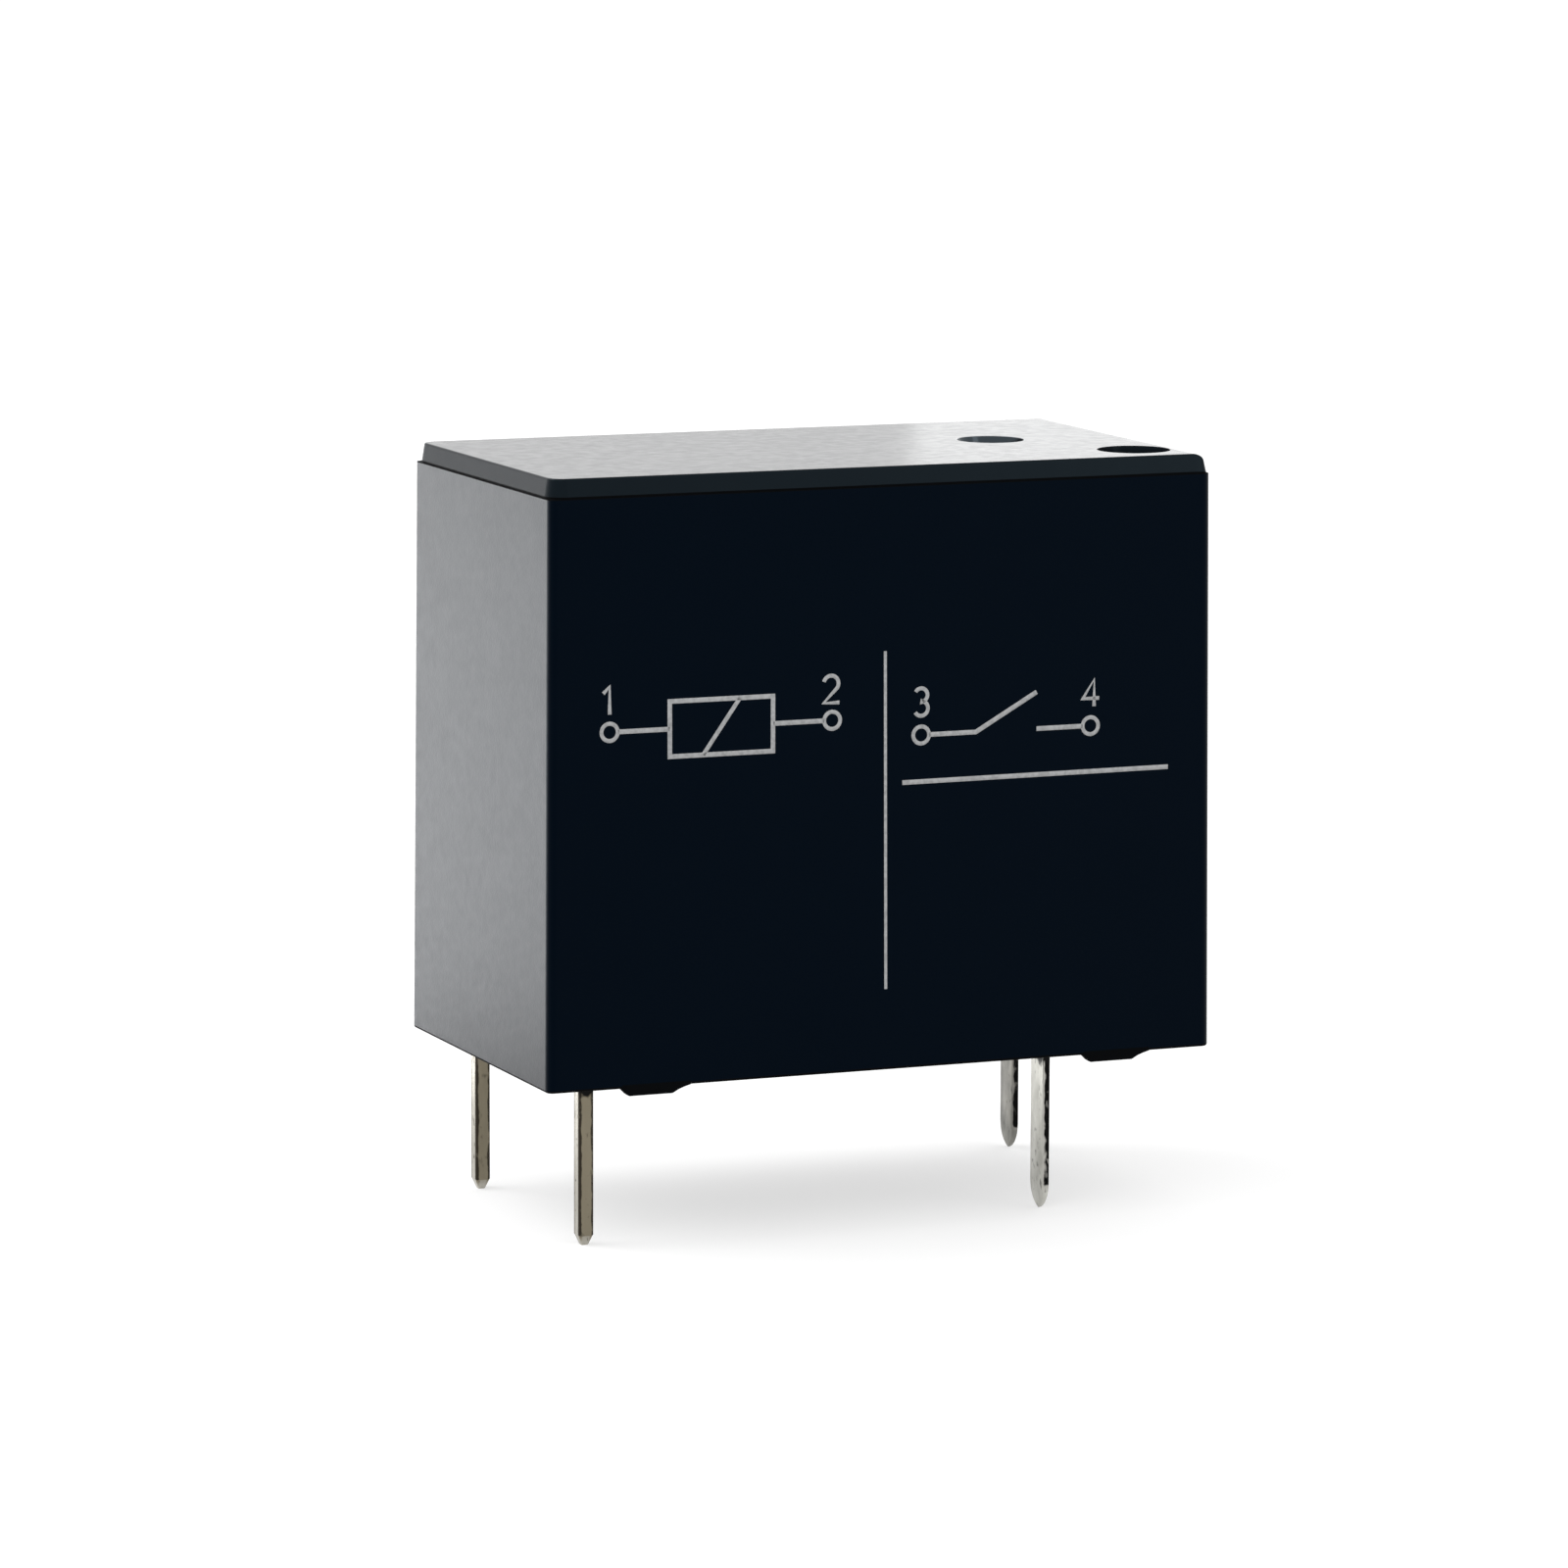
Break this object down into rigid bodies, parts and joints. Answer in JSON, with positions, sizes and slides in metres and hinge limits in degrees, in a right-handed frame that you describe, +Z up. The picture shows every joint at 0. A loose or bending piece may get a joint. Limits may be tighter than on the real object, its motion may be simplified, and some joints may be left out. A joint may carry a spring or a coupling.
{
  "type": "pcb power relay",
  "caption": "Sealed board-mounted power relay: black drafted case with a raised crown and solder pins, holding a coil, a hinged armature, a push card and a contact blade.",
  "frame": {"origin": "on the board face (the plane of the feet's undersides) at the middle of the cover", "axes": "+Z up from the board, +X from the coil pins to the contact pins, +Y from the printed front to the rear"},
  "size_m": [0.0184, 0.0102, 0.0197],
  "materials": {
    "case": "satin moulded plastic",
    "base": "moulded plastic",
    "resin": "poured resin",
    "bobbin": "moulded plastic",
    "copper": "enamelled wire",
    "tape": "film tape",
    "iron": "plated soft iron",
    "spring_steel": "cold-rolled strip",
    "card": "moulded plastic",
    "blade_bronze": "rolled copper alloy",
    "contact_alloy": "coined silver alloy",
    "rivet_brass": "headed brass",
    "tin": "tinned copper alloy"
  },
  "bodies": {
    "frame": {"cover": "case", "base": "base", "sealing_resin": "resin", "bobbin": "bobbin", "coil_winding": "copper", "coil_tape": "tape", "core": "iron", "yoke": "iron", "hinge_spring": "spring_steel", "blade_rivets": "rivet_brass", "common_terminal": "tin", "fixed_terminal": "tin", "fixed_contact": "contact_alloy", "coil_pin_front": "tin", "coil_pin_rear": "tin", "coil_lead_front": "copper", "coil_lead_rear": "copper"},
    "armature_body": {"armature": "iron"},
    "card_body": {"push_card": "card"},
    "blade_body": {"contact_blade": "blade_bronze", "moving_contact": "contact_alloy"}
  },
  "joints": [
    {"name": "armature_hinge", "type": "hinge", "parent": "frame", "child": "armature_body", "pos_m": [0.0013, 0, 0.01298], "axis": [0, -1, 0], "range_deg": [0, 4], "stiffness_Nm_per_rad": 0.0004, "springref_deg": -8.59},
    {"name": "card_slide", "type": "slide", "parent": "frame", "child": "card_body", "axis": [1, 0, 0], "range_m": [0, 0.000365]},
    {"name": "blade_hinge", "type": "hinge", "parent": "frame", "child": "blade_body", "pos_m": [0.00518, 0, 0.00275], "axis": [0, 1, 0], "range_deg": [0, 4.1]}
  ],
  "couplings": [
    {"joint": "card_slide", "follows": "armature_hinge", "m_per_rad": 0.0051934},
    {"joint": "blade_hinge", "follows": "armature_hinge", "ratio": 1.0206}
  ]
}
